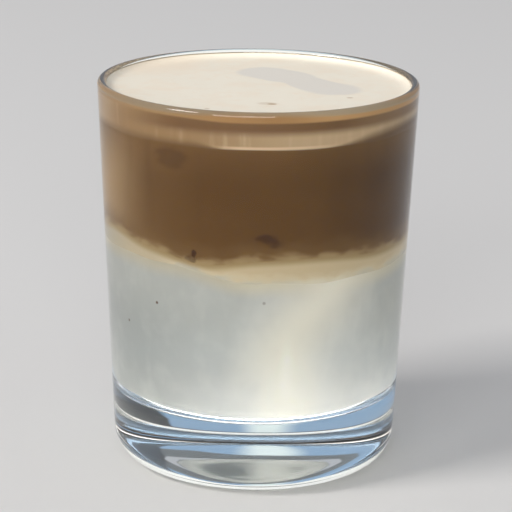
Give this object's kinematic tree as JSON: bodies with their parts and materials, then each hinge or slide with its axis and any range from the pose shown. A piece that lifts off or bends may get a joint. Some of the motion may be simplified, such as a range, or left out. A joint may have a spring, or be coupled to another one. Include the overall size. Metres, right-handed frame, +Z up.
{
  "type": "coconut coffee float in a tumbler",
  "caption": "Layered cold drink in a clear heavy-based tumbler: cloudy coconut water below, coffee cream above it and a pale foam nearly to the brim.",
  "frame": {"origin": "centre of the tumbler's underside, on the plane that it stands on", "axes": "+Z up along the tumbler's axis; -Y is the side that the picture shows, and +X is to its right"},
  "size_m": [0.082, 0.082, 0.1],
  "materials": {
    "clear_glass": "clear polished glass",
    "coconut_water": "cloudy translucent liquid",
    "mixed_band": "milky liquid",
    "coffee_cream": "opaque milky liquid",
    "cream_foam": "smooth fine foam"
  },
  "bodies": {
    "root": {"tumbler": "clear_glass", "coconut_water": "coconut_water", "mixed_band": "mixed_band", "coffee_cream": "coffee_cream", "cream_foam": "cream_foam"}
  },
  "joints": []
}
